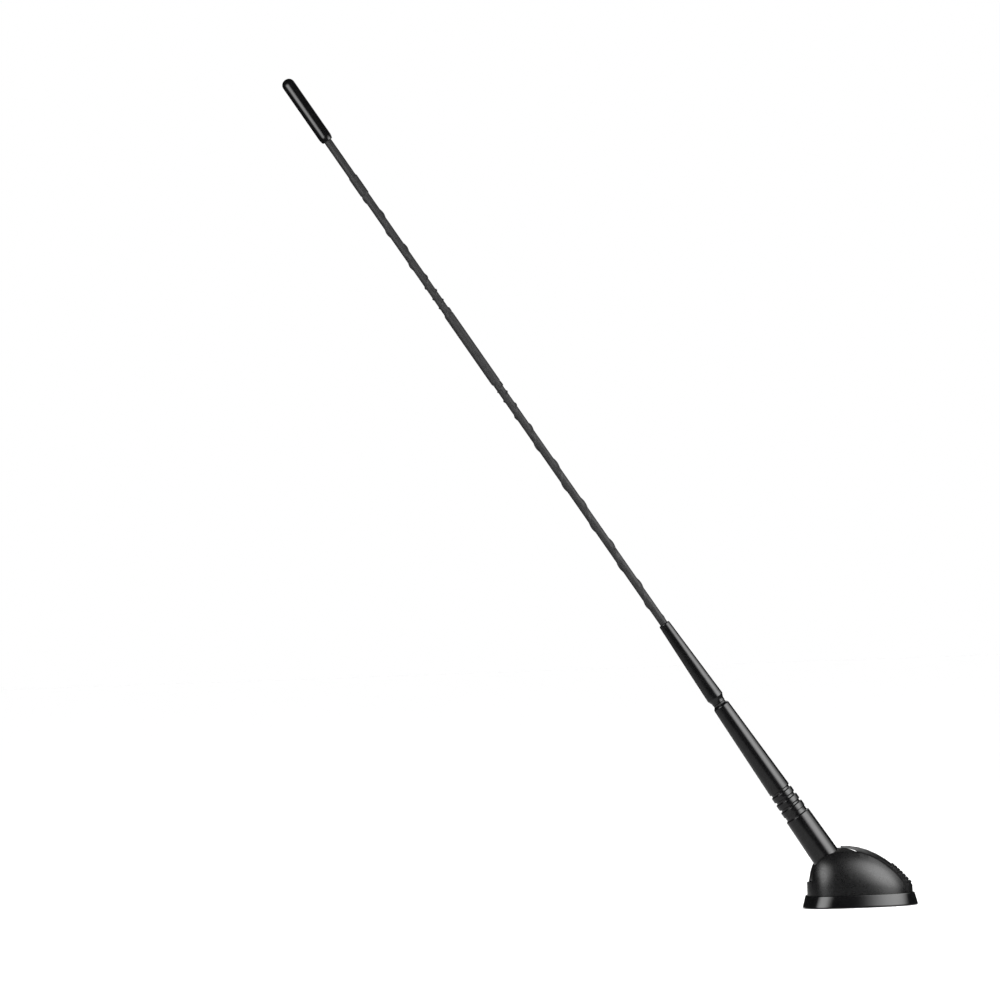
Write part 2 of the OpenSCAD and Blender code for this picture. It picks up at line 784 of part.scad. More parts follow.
module neck_seal() {
    color([0.12, 0.12, 0.12])
    on_mast() translate([0, 0, core_top]) difference() {
        cylinder(d = seal_d, h = seal_t);
        translate([0, 0, -1]) cylinder(d = stud_d + 2 * run_fit, h = seal_t + 2);
    }
}

module whip_stud() {
    color([0.75, 0.75, 0.77])
    on_mast() translate([0, 0, core_top - stud_reach]) {
        cylinder(d1 = stud_d - 1, d2 = stud_d, h = 0.5);
        translate([0, 0, 0.5]) cylinder(d = stud_d, h = stud_reach + seal_t + stud_root - 0.5);
    }
}

// Tapered ferrule with a neck, which grips the stud below and the rod above
module whip_ferrule() {
    color([0.05, 0.05, 0.055])
    on_mast() difference() {
        rotate_extrude() polygon(concat(
            [[0, neck_base], [neck_d / 2 - 0.3, neck_base], [neck_d / 2, neck_base + 0.3], [neck_d / 2, neck_top]],
            [[shoulder_d / 2 - 0.3, shoulder_top - 0.4], [shoulder_d / 2, shoulder_top + 0.2]],
            arc_points(ferrule_top_d / 2 - 0.5, whip_base - 0.5, 0.5, 0, 90, 4),
            [[0, whip_base]]
        ));
        translate([0, 0, neck_base - 1]) cylinder(d = stud_d + 2 * seat_fit, h = stud_root + 1 + seat_fit);
        translate([0, 0, whip_base - rod_root]) cylinder(d = rod_d + 2 * seat_fit, h = rod_root + 1);
        translate([0, 0, whip_base - sleeve_tuck - run_fit])
            cylinder(r = sleeve_out_r + run_fit, h = sleeve_tuck + 1);
    }
}

module whip_rod() {
    color([0.8, 0.78, 0.66])
    on_mast() translate([0, 0, whip_base - rod_root + run_fit])
        cylinder(d = rod_d, h = rod_root + whip_len + cap_bore - 2 * run_fit);
}

// Pitch of the wire at a distance from the coil
function pitch_at(x, near, far, spread) = near + (far - near) * smooth((x - spread / 8) / spread);

// Heights and angles of the wire, ring by ring, from the coil outwards
function wire_steps(run, near, far, spread) =
    [for (x = 0, k = 0; x < run; x = x + pitch_at(x, near, far, spread) / rings_per_turn, k = k + 1)
        [x, k * 360 / rings_per_turn]];

run_above = band_base - coil_top - 2 * helix_stop;
run_below = coil_base - whip_base - 2 * helix_stop;
steps_above = wire_steps(run_above, pitch_above_min, pitch_above, spread_above);
steps_below = wire_steps(run_below, pitch_below_min, pitch_below, spread_below);

// Stations along the helix, lowest first: height and angle
function rising(steps, base, phase, way) =
    way > 0
        ? [for (s = steps) [base + s[0], phase + s[1]]]
        : [for (i = [len(steps) - 1 : -1 : 0]) [base - steps[i][0], phase - steps[i][1]]];

low_helix = rising(steps_below, coil_base - helix_stop, phase_below, -1);
high_helix = rising(steps_above, coil_top + helix_stop, phase_above, 1);
join_turn_below = (helix_stop - wire_join) / pitch_below_min * 360;
join_turn_above = (helix_stop - wire_join) / pitch_above_min * 360;

// Section of the sleeve at a height: plain radius all round, with the ridge on one corner
function sleeve_ring(z, angle, plain_r, ridge_r) =
    [for (j = [0 : rings_per_turn - 1])
        let (
            a = phase_above + j * 360 / rings_per_turn,
            r = cos(a - angle) > 1 - chord_sag ? ridge_r : plain_r
        )
        [r * cos(a), r * sin(a), z]];

// All stations of the sleeve: height, angle, outer radii and inner radii
sleeve_stations = concat(
    [[whip_base - sleeve_tuck, low_helix[0][1], sleeve_out_r, sleeve_out_r, sleeve_in_r, sleeve_in_r]],
    [[low_helix[0][0] - sleeve_step, low_helix[0][1], sleeve_out_r, sleeve_out_r, sleeve_in_r, sleeve_in_r]],
    [for (s = low_helix) [s[0], s[1], sleeve_out_r, ridge_out_r, sleeve_in_r, ridge_in_r]],
    [[coil_base - sleeve_step, phase_below, coil_sleeve_d / 2, coil_sleeve_d / 2, coil_in_r, coil_in_r]],
    [[coil_top + sleeve_step, phase_above, coil_sleeve_d / 2, coil_sleeve_d / 2, coil_in_r, coil_in_r]],
    [for (s = high_helix) [s[0], s[1], sleeve_out_r, ridge_out_r, sleeve_in_r, ridge_in_r]],
    [for (e = [[band_base - 0.4, sleeve_out_r], [band_base, band_d / 2], [band_top, band_d / 2],
               [band_top + 0.4, sleeve_out_r], [cap_base + sleeve_tuck, sleeve_out_r]])
        [e[0], high_helix[len(high_helix) - 1][1], e[1], e[1], sleeve_in_r, sleeve_in_r]]
);

// Shrink sleeve that follows the wire
module whip_sleeve() {
    color([0.04, 0.04, 0.045])
    on_mast() tube_skin(
        [for (s = sleeve_stations) sleeve_ring(s[0], s[1], s[2], s[3])],
        [for (s = sleeve_stations) sleeve_ring(s[0], s[1], s[4], s[5])]
    );
}

// Wire section, standing on the helix
function wire_ring(z, angle) =
    [for (a = [0, 90, 180, 270])
        let (r = wire_track_r + wire_d / 2 * cos(a), t = wire_d / 2 * sin(a) / wire_track_r * 180 / PI)
        [r * cos(angle + t), r * sin(angle + t), z]];

// Copper wire: open helix, close-wound coil, open helix
module whip_winding() {
    color([0.72, 0.42, 0.22])
    on_mast() {
        skin(concat(
            [for (s = low_helix) wire_ring(s[0], s[1])],
            [wire_ring(coil_base - wire_join, phase_below + join_turn_below)]
        ));
        difference() {
            translate([0, 0, coil_base - coil_end]) cylinder(r = coil_wire_r, h = coil_len + 2 * coil_end);
            translate([0, 0, coil_base - 1]) cylinder(r = rod_d / 2 + run_fit, h = coil_len + 2);
        }
        skin(concat(
            [wire_ring(coil_top + wire_join, phase_above - join_turn_above)],
            [for (s = high_helix) wire_ring(s[0], s[1])]
        ));
    }
}

module tip_cap() {
    cap_r = cap_d / 2;
    color([0.04, 0.04, 0.045])
    on_mast() translate([0, 0, cap_base]) difference() {
        rotate_extrude() polygon(concat(
            [[0, 0]],
            arc_points(cap_r - 0.9, 0.9, 0.9, -90, 0, 4),
            arc_points(0, cap_len - cap_r, cap_r, 0, 90, 8)
        ));
        translate([0, 0, -1]) cylinder(r = sleeve_out_r + run_fit, h = sleeve_tuck + 1 + run_fit);
        translate([0, 0, -1]) cylinder(d = rod_d + 2 * seat_fit, h = cap_bore + 1);
    }
}

base_gasket();
base_plate();
cable_grommet();
pivot_carrier();
carrier_screws();
housing();
housing_screws();
slot_cover();
clamp_screw();
clamp_shoe();
pivot_pin();
pin_clip();
friction_washers();
contact_spring();
feed_terminal();
swivel_hub();
pivot_bush();
contact_ring();
mast_core();
core_pin();
mast_cover();
neck_seal();
whip_stud();
whip_ferrule();
whip_rod();
whip_winding();
whip_sleeve();
tip_cap();
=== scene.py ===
"""Dresses the car mast aerial: smooth whip, turned mast and cap, finishes, studio and camera.

Lengths are in metres, except where a comment or docstring says millimetres.
"""

import json
import math

import bmesh
import bpy
from mathutils import Matrix, Vector


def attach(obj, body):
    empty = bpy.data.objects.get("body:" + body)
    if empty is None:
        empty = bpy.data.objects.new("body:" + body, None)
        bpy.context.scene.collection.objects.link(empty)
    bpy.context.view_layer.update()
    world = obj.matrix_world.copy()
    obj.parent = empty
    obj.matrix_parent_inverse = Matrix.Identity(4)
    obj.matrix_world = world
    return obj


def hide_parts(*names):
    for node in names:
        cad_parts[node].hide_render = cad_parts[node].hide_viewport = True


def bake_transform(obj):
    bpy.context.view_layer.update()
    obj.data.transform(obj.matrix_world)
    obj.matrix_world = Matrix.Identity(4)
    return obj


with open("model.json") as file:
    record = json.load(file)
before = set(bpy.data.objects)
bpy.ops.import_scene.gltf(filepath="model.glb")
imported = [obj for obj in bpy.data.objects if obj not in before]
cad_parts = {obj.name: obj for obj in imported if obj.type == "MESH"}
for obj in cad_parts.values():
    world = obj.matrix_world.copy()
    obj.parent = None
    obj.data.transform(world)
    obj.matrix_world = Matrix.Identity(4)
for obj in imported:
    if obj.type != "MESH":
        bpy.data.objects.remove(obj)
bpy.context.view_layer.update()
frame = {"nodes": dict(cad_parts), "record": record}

MM = 0.001

# The tilted mast: its pivot, its lean and the directions along and across it
PIVOT = Vector((-15, 0, 14.6)) * MM
LEAN = math.radians(33)
ALONG = Vector((-math.sin(LEAN), 0, math.cos(LEAN)))
ACROSS = Vector((math.cos(LEAN), 0, math.sin(LEAN)))
SIDEWAYS = Vector((0, 1, 0))

# Sleeve, coil and band of the whip: heights along the mast and radii, in millimetres
WHIP_FOOT = 162.0
WHIP_HEAD = 478.5
SLEEVE_FOOT_R = 2.13
SLEEVE_HEAD_R = 2.08
COIL_LOW = 320.3
COIL_HIGH = 364.7
COIL_R = 2.58
COIL_EDGE = 1.4
BAND_LOW = 441.6
BAND_HIGH = 453.0
BAND_R = 2.43
BAND_EDGE = 0.6

# Ridge of the wire under the sleeve: its height in millimetres and half its width in radians
RIDGE = 0.5
RIDGE_WIDTH = 0.36
WIRE_LOW = 168.0
WIRE_LOW_EDGE = 4.0
WIRE_HIGH_EDGE = 2.0

# Heights in millimetres where the wire passes the rear and the front of the whip by turns,
# set after the photograph: first below the coil, then above it
WIRE_BELOW = [
    167.4, 178.3, 190.2, 203.2, 216.1, 228.6, 242.3, 254.7, 267.7,
    280.4, 291.5, 299.7, 305.5, 310.0, 313.7, 315.8, 317.7,
]
WIRE_ABOVE = [
    367.2, 369.8, 372.7, 375.6, 378.8, 382.6, 387.5, 396.6, 406.6, 418.0, 428.3, 439.4,
]

# Fineness of the whip's skin: rings this many millimetres apart, with this many sides
WHIP_STEP = 0.36
WHIP_SIDES = 40

# Fineness of turned pieces
LATHE_SIDES = 96
ARC_STEPS = 6
AXIS_WELD_REACH = 1e-7

# Lower mast, in millimetres: foot, collar, long cone, the stepped bore inside, and how far
# from each corner its rounding starts
FOOT_BASE = 14.44
FOOT_BASE_R = 7.5
FOOT_TOP = 41.3
FOOT_TOP_R = 6.95
FOOT_EDGE = 0.7
COLLAR_R = 6.08
COLLAR_LOW_EDGE = 0.15
COLLAR_HIGH_EDGE = 0.1
CONE_BASE = 57.55
CONE_BASE_R = 6.0
CONE_TOP = 111.9
CONE_TOP_R = 4.53
CONE_EDGE = 0.4
MAST_TOP = 113.0
MAST_TOP_R = 3.5
MAST_TOP_EDGE = 0.15
SOCKET_R = 3.27
SOCKET_BASE = 97.98
BORE_R = 3.02

# Grip rings, lowest first: lower face, upper face, radius and rounding of the lower edge,
# then the radius of the groove above
RINGS = [
    (43.7, 47.05, 6.5, 0.3, 5.5),
    (48.25, 51.6, 6.33, 0.5, 5.4),
    (52.95, 56.2, 6.17, 0.5, 5.3),
]
RING_EDGE = 0.5
GROOVE_EDGE = 0.25

# Cap, in millimetres: mouth, lip, barrel, round tip, the blind bore inside, and how far from
# each corner its rounding starts
CAP_BASE = 476.0
CAP_MOUTH_R = 2.4
CAP_LIP_R = 2.9
CAP_LIP_EDGE = 0.45
CAP_SHOULDER = 477.9
CAP_SHOULDER_EDGE = 1.2
CAP_R = 3.5
CAP_TOP = 515.2
CAP_TIP_EDGE = 3.3
CAP_BORE_R = 1.72
CAP_BORE_TOP = 498.0
CAP_SEAT = 479.2

# CAD nodes: faces meet smoothly across edges flatter than this, and points this close join
SMOOTH_ANGLE = math.radians(34)
CAD_WELD_REACH = 2e-6

# Rounding of the CAD nodes' edges, in millimetres
ROUNDED = {
    "housing": 0.15, "slot_cover": 0.15, "base_gasket": 0.25, "base_plate": 0.2,
    "swivel_hub": 0.15, "whip_ferrule": 0.3,
}

# Noise of the finishes, and the part of its range that colour patches and sheen take up
NOISE_DETAIL = 3.0
NOISE_ROUGHNESS = 0.55
PATCH_LOW = 0.35
PATCH_HIGH = 0.65
SHEEN_LOW = 0.3
SHEEN_HIGH = 0.7

# Colours that the black plastics share: the plastic and its dusty patches
BLACK = (0.0018, 0.0018, 0.002)
DUSTY = (0.003, 0.003, 0.0032)

# Middle of the base, at which the lights aim
BASE = Vector((-12, 0, 18)) * MM

# Lights round the base: azimuth and elevation in degrees, distance, radius and radiance
LIGHTS = {
    "right": (50, 33, 0.5, 0.39, 6.8),
    "side": (94, 44, 0.5, 0.25, 2.2),
    "left": (-49, 25, 0.72, 0.36, 6.0),
    "back": (178, 38, 0.9, 0.4, 1.6),
}

# Share of a light's width from its middle where it starts to fade and where it ends
FADE_FROM = 0.08
FADE_TO = 0.5

# Strength of the world for each kind of ray
WORLD_SEEN = 1.0
WORLD_DIFFUSE = 1.15
WORLD_DARK = 0.02

# Floor, just under the base
FLOOR_HALF = 4.0
FLOOR_HEIGHT = -0.0003

# Lit paper under the mast: size, middle of its glow, brightness and reach of the fade
TABLE_HALF = 0.55
TABLE_MIDDLE = (-0.1, 0, 0)
TABLE_GLOW = 0.55
TABLE_FADE_FROM = 0.08
TABLE_FADE_TO = 0.42

# Camera: angles in degrees, aim, distance, lens and sensor in millimetres
CAMERA_AZIMUTH = 4.0
CAMERA_ELEVATION = 1.0
CAMERA_ROLL = -1.9136
CAMERA_AIM = Vector((-189.54, 0, 221.42)) * MM
CAMERA_DISTANCE = 6.0
CAMERA_LENS = 408.95
CAMERA_SENSOR = 36
CAMERA_SIGHT = 20


def on_mast(radius, angle, height):
    """Point at a radius, an angle (0 faces the rear of the car) and a height along the mast."""
    around = ACROSS * math.cos(angle) + SIDEWAYS * math.sin(angle)
    return PIVOT + ALONG * height + around * radius


def over(distance, edge):
    """Share that goes smoothly from 0 to 1 as a distance passes zero, over the width of an edge."""
    t = min(max(distance / edge + 0.5, 0.0), 1.0)
    return t * t * (3 - 2 * t)


def mesh_object(name, points, faces):
    """Smooth-shaded object from points and faces."""
    mesh = bpy.data.meshes.new(name)
    mesh.from_pydata([tuple(p) for p in points], [], faces)
    mesh.validate()
    mesh.shade_smooth()
    made = bpy.data.objects.new(name, mesh)
    bpy.context.collection.objects.link(made)
    return made


def sheet_object(name, half, height):
    """Level square round the origin."""
    corners = [(-half, -half, height), (half, -half, height), (half, half, height), (-half, half, height)]
    return mesh_object(name, corners, [(0, 1, 2, 3)])


def weld(mesh):
    """Joins the points that fall together on the axis and drops the faces that vanish there."""
    work = bmesh.new()
    work.from_mesh(mesh)
    bmesh.ops.remove_doubles(work, verts=work.verts, dist=AXIS_WELD_REACH)
    work.to_mesh(mesh)
    work.free()


def tube(name, rings):
    """Closed skin over rings of equal length, lowest ring first."""
    count = len(rings[0])
    points = [p for ring in rings for p in ring]
    faces = []
    for row in range(len(rings) - 1):
        for col in range(count):
            near = row * count + col
            far = row * count + (col + 1) % count
            faces.append((near, far, far + count, near + count))
    faces.append(tuple(range(count - 1, -1, -1)))
    last = (len(rings) - 1) * count
    faces.append(tuple(range(last, last + count)))
    return mesh_object(name, points, faces)


def wire_crests():
    """Height and angle of the wire at each pass, half a turn apart, with one turn over the coil."""
    below = [(height, math.pi * i) for i, height in enumerate(WIRE_BELOW)]
    first = len(WIRE_BELOW) + 1
    return below + [(height, math.pi * (first + i)) for i, height in enumerate(WIRE_ABOVE)]


WIRE_CRESTS = wire_crests()


def wire_angle(height):
    """Angle of the wire round the whip at a height, in radians."""
    for (low, start), (high, end) in zip(WIRE_CRESTS, WIRE_CRESTS[1:]):
        if height <= high:
            break
    return start + (end - start) * (height - low) / (high - low)


def whip_radius(height, angle):
    """Radius of the sleeve at a height and an angle, in millimetres."""
    share = (height - WHIP_FOOT) / (WHIP_HEAD - WHIP_FOOT)
    plain = SLEEVE_FOOT_R + (SLEEVE_HEAD_R - SLEEVE_FOOT_R) * share
    coil = over(height - COIL_LOW, COIL_EDGE) * over(COIL_HIGH - height, COIL_EDGE)
    band = over(height - BAND_LOW, BAND_EDGE) * over(BAND_HIGH - height, BAND_EDGE)
    wire = over(height - WIRE_LOW, WIRE_LOW_EDGE) * over(BAND_LOW - height, WIRE_HIGH_EDGE)
    turn = (angle - wire_angle(height) + math.pi) % (2 * math.pi) - math.pi
    ridge = RIDGE * math.exp(-((turn / RIDGE_WIDTH) ** 2)) * wire * (1 - coil)
    return max(plain + ridge, plain + (COIL_R - plain) * coil, plain + (BAND_R - plain) * band)


def make_whip():
    """Glass fibre rod, winding and shrink sleeve as the one skin that shows."""
    count = round((WHIP_HEAD - WHIP_FOOT) / WHIP_STEP)
    heights = [WHIP_FOOT + (WHIP_HEAD - WHIP_FOOT) * i / count for i in range(count + 1)]
    angles = [2 * math.pi * j / WHIP_SIDES for j in range(WHIP_SIDES)]
    rings = [
        [on_mast(whip_radius(h, a) * MM, a, h * MM) for a in angles]
        for h in heights
    ]
    whip = tube("whip_skin", rings)
    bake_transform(whip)
    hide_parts("whip_rod", "whip_winding", "whip_sleeve")
    return whip


def rounded(corners):
    """Outline through corners (radius, height, edge), each an arc that starts its edge away."""
    outline = []
    count = len(corners)
    for i, (radius, height, edge) in enumerate(corners):
        corner = Vector((radius, height))
        if not edge:
            outline.append(corner)
            continue
        before = Vector(corners[i - 1][:2])
        after = Vector(corners[(i + 1) % count][:2])
        back = (before - corner).normalized()
        ahead = (after - corner).normalized()
        half = back.angle(ahead) / 2
        centre = corner + (back + ahead).normalized() * (edge / math.cos(half))
        start = corner + back * edge - centre
        end = corner + ahead * edge - centre
        for step in range(ARC_STEPS + 1):
            outline.append(centre + start.slerp(end, step / ARC_STEPS) * start.length)
    return outline


def lathe(name, corners):
    """Turns a closed outline in millimetres round the mast's axis."""
    outline = rounded(corners)
    count = len(outline)
    points = []
    faces = []
    for col in range(LATHE_SIDES):
        angle = 2 * math.pi * col / LATHE_SIDES
        points += [on_mast(p.x * MM, angle, p.y * MM) for p in outline]
        near = col * count
        far = (col + 1) % LATHE_SIDES * count
        for row in range(count):
            up = (row + 1) % count
            faces.append((near + row, far + row, far + up, near + up))
    made = mesh_object(name, points, faces)
    weld(made.data)
    return made


def mast_outline():
    """Lower mast from its foot up: flare, collar, grip rings, long cone, and back down its bore."""
    ring_base = RINGS[0][0]
    outline = [
        (FOOT_BASE_R, FOOT_BASE, 0),
        (FOOT_TOP_R, FOOT_TOP, FOOT_EDGE),
        (COLLAR_R, FOOT_TOP, COLLAR_LOW_EDGE),
        (COLLAR_R, ring_base, COLLAR_HIGH_EDGE),
    ]
    groove_tops = [ring[0] for ring in RINGS[1:]] + [CONE_BASE]
    for (low, high, radius, low_edge, groove_r), groove_top in zip(RINGS, groove_tops):
        outline += [
            (radius, low, low_edge),
            (radius, high, RING_EDGE),
            (groove_r, high, GROOVE_EDGE),
            (groove_r, groove_top, GROOVE_EDGE),
        ]
    return outline + [
        (CONE_BASE_R, CONE_BASE, CONE_EDGE),
        (CONE_TOP_R, CONE_TOP, CONE_EDGE),
        (MAST_TOP_R, MAST_TOP, MAST_TOP_EDGE),
        (SOCKET_R, MAST_TOP, 0),
        (SOCKET_R, SOCKET_BASE, 0),
        (BORE_R, SOCKET_BASE, 0),
        (BORE_R, FOOT_BASE, 0),
    ]


def cap_outline():
    """Cap from its mouth up: tapered lip, barrel and round tip, and back down its blind bore."""
    return [
        (CAP_MOUTH_R, CAP_BASE, 0),
        (CAP_LIP_R, CAP_BASE, CAP_LIP_EDGE),
        (CAP_R, CAP_SHOULDER, CAP_SHOULDER_EDGE),
        (CAP_R, CAP_TOP, CAP_TIP_EDGE),
        (0, CAP_TOP, 0),
        (0, CAP_BORE_TOP, 0),
        (CAP_BORE_R, CAP_BORE_TOP, 0),
        (CAP_BORE_R, CAP_SEAT, 0),
        (CAP_MOUTH_R, CAP_SEAT, 0),
    ]


def make_turned(name, outline, node, body):
    """Turned piece that stands for a CAD node, with its fine rings and roundings."""
    made = lathe(name, outline)
    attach(made, body)
    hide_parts(node)
    return made


def set_inputs(node, **values):
    """Sets a node's inputs, whose names have spaces where the keywords have underscores."""
    for key, value in values.items():
        node.inputs[key.replace("_", " ")].default_value = value


class Finish:
    """A node material with one Principled shader, its inputs set or fed step by step."""

    def __init__(self, slot, color, rough, metal=0.0, ior=1.5):
        self.slot = slot
        self.material = bpy.data.materials.new(slot)
        self.material.use_nodes = True
        self.tree = self.material.node_tree
        self.shader = self.tree.nodes["Principled BSDF"]
        self.color = color
        set_inputs(self.shader, Base_Color=(*color, 1), Roughness=rough, Metallic=metal, IOR=ior)
        self.place = self.tree.nodes.new("ShaderNodeTexCoord").outputs["Object"]
        self.normal = None

    def noise(self, size, stretch=(1, 1, 1)):
        """Noise with features of about a size in millimetres, finer along the stretched axes."""
        mapping = self.tree.nodes.new("ShaderNodeMapping")
        set_inputs(mapping, Scale=stretch)
        self.tree.links.new(self.place, mapping.inputs["Vector"])
        made = self.tree.nodes.new("ShaderNodeTexNoise")
        set_inputs(made, Scale=1 / (size * MM), Detail=NOISE_DETAIL, Roughness=NOISE_ROUGHNESS)
        self.tree.links.new(mapping.outputs["Vector"], made.inputs["Vector"])
        return made.outputs["Fac"]

    def vary_rough(self, size, low, high):
        """Roughness between two values, in patches of a size in millimetres."""
        made = self.tree.nodes.new("ShaderNodeMapRange")
        set_inputs(made, From_Min=SHEEN_LOW, From_Max=SHEEN_HIGH, To_Min=low, To_Max=high)
        self.tree.links.new(self.noise(size), made.inputs["Value"])
        self.tree.links.new(made.outputs["Result"], self.shader.inputs["Roughness"])
        return self

    def vary_color(self, size, other):
        """Patches of another colour, of a size in millimetres."""
        made = self.tree.nodes.new("ShaderNodeValToRGB")
        low, high = made.color_ramp.elements
        low.position = PATCH_LOW
        low.color = (*self.color, 1)
        high.position = PATCH_HIGH
        high.color = (*other, 1)
        self.tree.links.new(self.noise(size), made.inputs["Fac"])
        self.tree.links.new(made.outputs["Color"], self.shader.inputs["Base Color"])
        return self

    def bump(self, size, depth, stretch=(1, 1, 1)):
        """Adds bumps of a size and depth in millimetres to those already there."""
        made = self.tree.nodes.new("ShaderNodeBump")
        set_inputs(made, Distance=depth * MM, Strength=1.0)
        self.tree.links.new(self.noise(size, stretch), made.inputs["Height"])
        if self.normal is not None:
            self.tree.links.new(self.normal, made.inputs["Normal"])
        self.normal = made.outputs["Normal"]
        self.tree.links.new(self.normal, self.shader.inputs["Normal"])
        return self


def black_plastics():
    """Black moulded plastics, from the satin base to the glossier mast and cap."""
    return [
        Finish("housing_plastic", BLACK, 0.28)
        .vary_color(4, DUSTY)
        .vary_rough(1.2, 0.25, 0.33)
        .bump(0.35, 0.005)
        .bump(0.12, 0.002),
        Finish("cover_plastic", BLACK, 0.32)
        .vary_color(3, DUSTY)
        .vary_rough(1, 0.28, 0.37)
        .bump(0.35, 0.006),
        Finish("hub_plastic", BLACK, 0.34)
        .vary_color(3, DUSTY)
        .vary_rough(1, 0.3, 0.4)
        .bump(0.4, 0.006),
        Finish("mast_plastic", BLACK, 0.18)
        .vary_color(6, DUSTY)
        .vary_rough(1.5, 0.15, 0.21)
        .bump(0.8, 0.004),
        Finish("cap_black", BLACK, 0.18)
        .vary_color(3, DUSTY)
        .vary_rough(1.2, 0.16, 0.22)
        .bump(0.5, 0.005),
    ]


def rubbers():
    """Glossy foot, matt shrink sleeve and matt seals."""
    return [
        Finish("gasket_rubber", BLACK, 0.12)
        .vary_color(5, DUSTY)
        .vary_rough(1.5, 0.1, 0.15)
        .bump(0.6, 0.008),
        Finish("sleeve_black", (0.011, 0.011, 0.0115), 0.54, ior=1.4)
        .vary_color(3, (0.016, 0.016, 0.0165))
        .vary_rough(1.2, 0.48, 0.62)
        .bump(0.5, 0.01)
        .bump(0.15, 0.004),
        Finish("seal_rubber", (0.004, 0.004, 0.004), 0.5)
        .vary_color(2, (0.007, 0.007, 0.007))
        .vary_rough(1, 0.45, 0.6)
        .bump(0.3, 0.008),
    ]


def metals():
    """Black ferrule, cast plate, screws, brass and bronze parts, and the copper wire."""
    return [
        Finish("ferrule_black", BLACK, 0.2)
        .vary_color(4, DUSTY)
        .vary_rough(1.5, 0.17, 0.24)
        .bump(0.4, 0.004),
        Finish("cast_zinc", (0.42, 0.43, 0.45), 0.45, metal=1.0)
        .vary_color(2, (0.5, 0.51, 0.53))
        .vary_rough(1.2, 0.38, 0.55)
        .bump(0.5, 0.03),
        Finish("screw_steel", (0.6, 0.6, 0.62), 0.28, metal=1.0)
        .vary_color(2, (0.52, 0.53, 0.56))
        .vary_rough(0.8, 0.24, 0.36)
        .bump(0.4, 0.006),
        Finish("black_steel", (0.05, 0.05, 0.055), 0.4, metal=1.0)
        .vary_color(2, (0.08, 0.08, 0.085))
        .vary_rough(0.8, 0.35, 0.5)
        .bump(0.4, 0.004),
        Finish("brass_part", (0.72, 0.5, 0.2), 0.26, metal=1.0)
        .vary_color(3, (0.6, 0.42, 0.17))
        .vary_rough(0.8, 0.22, 0.34)
        .bump(0.3, 0.006),
        Finish("spring_bronze", (0.62, 0.36, 0.2), 0.3, metal=1.0)
        .vary_color(2, (0.55, 0.31, 0.17))
        .vary_rough(0.8, 0.26, 0.38)
        .bump(0.3, 0.004),
        Finish("copper_wire", (0.6, 0.24, 0.1), 0.25, metal=1.0)
        .vary_color(2, (0.5, 0.19, 0.08))
        .vary_rough(0.6, 0.2, 0.32)
        .bump(0.3, 0.003),
    ]


def glass_filled():
    """Pale insulating yoke and the whip's glass fibre rod, with its fibres along the whip."""
    return [
        Finish("insulator", (0.5, 0.47, 0.38), 0.45)
        .vary_color(2, (0.56, 0.53, 0.45))
        .vary_rough(1, 0.4, 0.52)
        .bump(0.3, 0.01),
        Finish("glass_fibre", (0.62, 0.6, 0.46), 0.4)
        .vary_color(1.5, (0.55, 0.53, 0.4))
        .vary_rough(1, 0.35, 0.48)
        .bump(0.3, 0.004, stretch=(4, 4, 1)),
    ]


def make_finishes():
    """Material of each of the record's slots."""
    made = black_plastics() + rubbers() + metals() + glass_filled()
    return {finish.slot: finish.material for finish in made}


def paint(thing, material):
    """Gives an object one material."""
    thing.data.materials.clear()
    thing.data.materials.append(material)


def smoothing_nodes():
    """Node group that shades faces smooth across every edge flatter than the smooth angle."""
    group = bpy.data.node_groups.new("smooth_faces", "GeometryNodeTree")
    for way in ("INPUT", "OUTPUT"):
        group.interface.new_socket("Geometry", in_out=way, socket_type="NodeSocketGeometry")
    start = group.nodes.new("NodeGroupInput")
    end = group.nodes.new("NodeGroupOutput")
    angle = group.nodes.new("GeometryNodeInputMeshEdgeAngle")
    steep = group.nodes.new("FunctionNodeCompare")
    steep.operation = "GREATER_THAN"
    steep.inputs["B"].default_value = SMOOTH_ANGLE
    normal = group.nodes.new("GeometryNodeSetMeshNormal")
    normal.mode = "SHARPNESS"
    group.links.new(start.outputs["Geometry"], normal.inputs["Mesh"])
    group.links.new(angle.outputs["Unsigned Angle"], steep.inputs["A"])
    group.links.new(steep.outputs["Result"], normal.inputs["Edge Sharpness"])
    group.links.new(normal.outputs["Mesh"], end.inputs["Geometry"])
    return group


def soften(thing, edge, smoothing):
    """Joins a CAD node's facets into smooth faces and rounds its edges by a width in metres."""
    joined = thing.modifiers.new("weld", "WELD")
    joined.merge_threshold = CAD_WELD_REACH
    if edge:
        bevel = thing.modifiers.new("bevel", "BEVEL")
        bevel.width = edge
        bevel.segments = 2
        bevel.limit_method = "ANGLE"
        bevel.angle_limit = SMOOTH_ANGLE
    thing.modifiers.new("smooth", "NODES").node_group = smoothing
    weighted = thing.modifiers.new("weighted", "WEIGHTED_NORMAL")
    weighted.keep_sharp = True


def dress_nodes(finishes, slots, smoothing):
    """Finishes and softens every CAD node."""
    for name, node in frame["nodes"].items():
        paint(node, finishes[slots[name]])
        soften(node, ROUNDED.get(name, 0) * MM, smoothing)


def dress_mast(finishes, slots, smoothing):
    """Adds the whip's skin and the turned mast and cap, with their finishes."""
    paint(make_whip(), finishes["sleeve_black"])
    for name, outline, node, body in (
        ("mast_skin", mast_outline(), "mast_cover", "lower_mast"),
        ("cap_skin", cap_outline(), "tip_cap", "whip_tip"),
    ):
        turned = make_turned(name, outline, node, body)
        paint(turned, finishes[slots[node]])
        turned.modifiers.new("smooth", "NODES").node_group = smoothing


